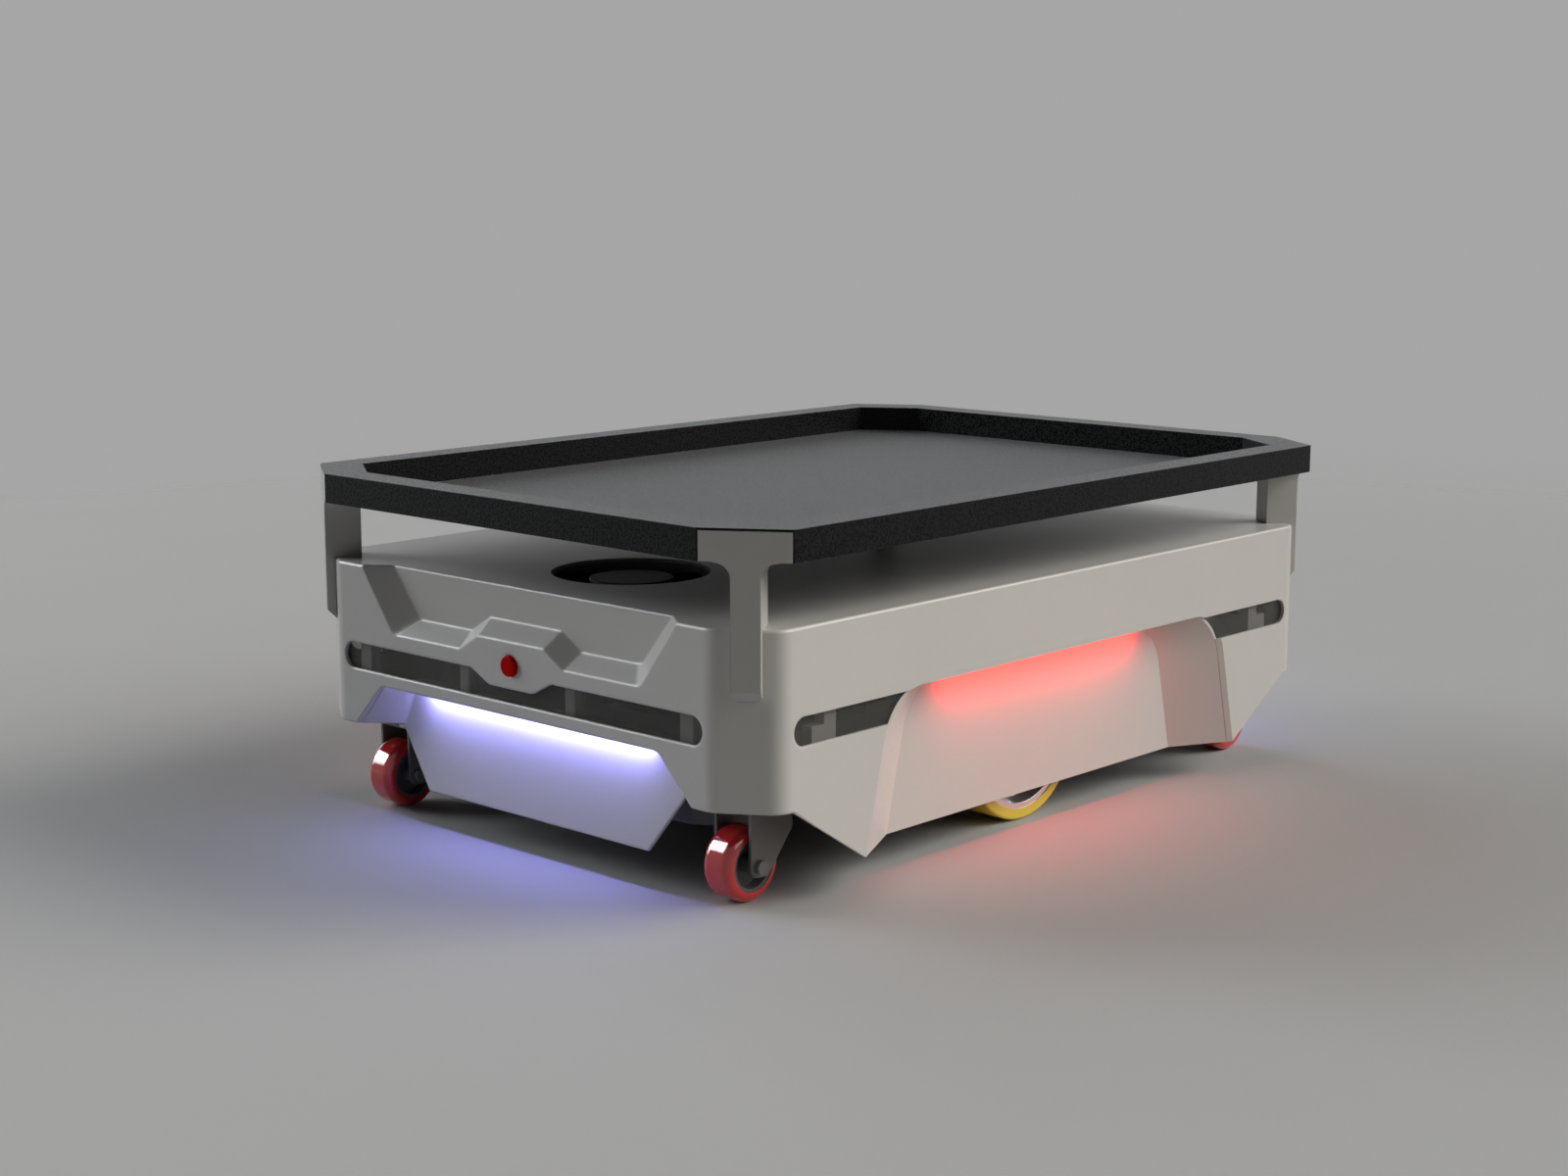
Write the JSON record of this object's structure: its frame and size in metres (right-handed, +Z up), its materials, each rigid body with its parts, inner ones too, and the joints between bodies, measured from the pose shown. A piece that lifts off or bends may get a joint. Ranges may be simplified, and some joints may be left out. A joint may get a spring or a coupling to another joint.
{
  "type": "autonomous mobile robot",
  "caption": "Low wheeled transport robot: load tray on corner posts over a moulded body with light strips, a deck fan, drive wheels and swivel casters.",
  "frame": {"origin": "on the floor, below the middle of the tray", "axes": "+X forward out of the face with the stop button, +Y to the robot's left, +Z up"},
  "size_m": [1, 0.717, 0.3775],
  "materials": {
    "shell_grey_white": "satin moulded",
    "smoked_window": "smoked clear",
    "white_blue_light": "lit diffuser",
    "red_light": "lit diffuser",
    "tray_charcoal": "fine leather grain",
    "bracket_grey": "cast, painted light grey",
    "fan_black": "moulded",
    "button_red": "gloss",
    "switch_black": "moulded",
    "chassis_steel": "black powder coat",
    "tub_grey": "powder coat",
    "motor_grey": "turned",
    "hub_metal": "turned",
    "drive_tread_yellow": "polyurethane",
    "caster_steel": "dark plated",
    "caster_hub_grey": "moulded nylon",
    "caster_tread_red": "glossy polyurethane",
    "bolt_zinc": "zinc plated",
    "battery_case": "moulded",
    "controller_black": "black anodised",
    "scanner_black": "moulded"
  },
  "bodies": {
    "chassis": {"body_shell": "shell_grey_white", "front_window": "smoked_window", "rear_window": "smoked_window", "front_left_side_window": "smoked_window", "front_right_side_window": "smoked_window", "rear_left_side_window": "smoked_window", "rear_right_side_window": "smoked_window", "left_apron": "shell_grey_white", "right_apron": "shell_grey_white", "front_apron": "shell_grey_white", "rear_apron": "shell_grey_white", "front_light": "white_blue_light", "rear_light": "white_blue_light", "left_light": "red_light", "right_light": "red_light", "tray_rim": "tray_charcoal", "tray_floor": "tray_charcoal", "front_left_bracket": "bracket_grey", "front_right_bracket": "bracket_grey", "rear_left_bracket": "bracket_grey", "rear_right_bracket": "bracket_grey", "fan_housing": "fan_black", "switch_block": "switch_black", "chassis_plate": "chassis_steel", "belly_tub": "tub_grey", "left_motor_mount": "chassis_steel", "left_drive_motor": "motor_grey", "right_motor_mount": "chassis_steel", "right_drive_motor": "motor_grey", "front_left_caster_plate": "caster_steel", "front_right_caster_plate": "caster_steel", "rear_left_caster_plate": "caster_steel", "rear_right_caster_plate": "caster_steel", "caster_bolts": "bolt_zinc", "battery_pack": "battery_case", "drive_controller": "controller_black", "front_scanner": "scanner_black", "rear_scanner": "scanner_black"},
    "left_drive_wheel": {"left_drive_hub": "hub_metal", "left_drive_tyre": "drive_tread_yellow"},
    "right_drive_wheel": {"right_drive_hub": "hub_metal", "right_drive_tyre": "drive_tread_yellow"},
    "stop_button": {"stop_button": "button_red"},
    "fan_rotor": {"fan_rotor": "fan_black"},
    "front_left_swivel": {"front_left_caster_fork": "caster_steel", "front_left_caster_axle": "caster_steel"},
    "front_left_wheel": {"front_left_caster_hub": "caster_hub_grey", "front_left_caster_tyre": "caster_tread_red"},
    "front_right_swivel": {"front_right_caster_fork": "caster_steel", "front_right_caster_axle": "caster_steel"},
    "front_right_wheel": {"front_right_caster_hub": "caster_hub_grey", "front_right_caster_tyre": "caster_tread_red"},
    "rear_left_swivel": {"rear_left_caster_fork": "caster_steel", "rear_left_caster_axle": "caster_steel"},
    "rear_left_wheel": {"rear_left_caster_hub": "caster_hub_grey", "rear_left_caster_tyre": "caster_tread_red"},
    "rear_right_swivel": {"rear_right_caster_fork": "caster_steel", "rear_right_caster_axle": "caster_steel"},
    "rear_right_wheel": {"rear_right_caster_hub": "caster_hub_grey", "rear_right_caster_tyre": "caster_tread_red"}
  },
  "joints": [
    {"name": "left_drive_spin", "type": "hinge", "parent": "chassis", "child": "left_drive_wheel", "pos_m": [0, 0.2625, 0.092], "axis": [0, 1, 0], "continuous": true},
    {"name": "right_drive_spin", "type": "hinge", "parent": "chassis", "child": "right_drive_wheel", "pos_m": [0, -0.2625, 0.092], "axis": [0, 1, 0], "continuous": true},
    {"name": "front_left_swivel_turn", "type": "hinge", "parent": "chassis", "child": "front_left_swivel", "pos_m": [0.402, 0.261, 0.092], "axis": [0, 0, 1], "continuous": true},
    {"name": "front_left_wheel_spin", "type": "hinge", "parent": "front_left_swivel", "child": "front_left_wheel", "pos_m": [0.4205, 0.261, 0.0375], "axis": [0, 1, 0], "continuous": true},
    {"name": "front_right_swivel_turn", "type": "hinge", "parent": "chassis", "child": "front_right_swivel", "pos_m": [0.402, -0.261, 0.092], "axis": [0, 0, 1], "continuous": true},
    {"name": "front_right_wheel_spin", "type": "hinge", "parent": "front_right_swivel", "child": "front_right_wheel", "pos_m": [0.4205, -0.261, 0.0375], "axis": [0, 1, 0], "continuous": true},
    {"name": "rear_left_swivel_turn", "type": "hinge", "parent": "chassis", "child": "rear_left_swivel", "pos_m": [-0.402, 0.261, 0.092], "axis": [0, 0, 1], "continuous": true},
    {"name": "rear_left_wheel_spin", "type": "hinge", "parent": "rear_left_swivel", "child": "rear_left_wheel", "pos_m": [-0.4205, 0.261, 0.0375], "axis": [0, 1, 0], "continuous": true},
    {"name": "rear_right_swivel_turn", "type": "hinge", "parent": "chassis", "child": "rear_right_swivel", "pos_m": [-0.402, -0.261, 0.092], "axis": [0, 0, 1], "continuous": true},
    {"name": "rear_right_wheel_spin", "type": "hinge", "parent": "rear_right_swivel", "child": "rear_right_wheel", "pos_m": [-0.4205, -0.261, 0.0375], "axis": [0, 1, 0], "continuous": true},
    {"name": "stop_button_push", "type": "slide", "parent": "chassis", "child": "stop_button", "axis": [-1, 0, 0], "range_m": [0, 0.003], "stiffness_N_per_m": 600},
    {"name": "fan_spin", "type": "hinge", "parent": "chassis", "child": "fan_rotor", "pos_m": [0.315, 0, 0.262], "axis": [0, 0, 1], "continuous": true}
  ]
}
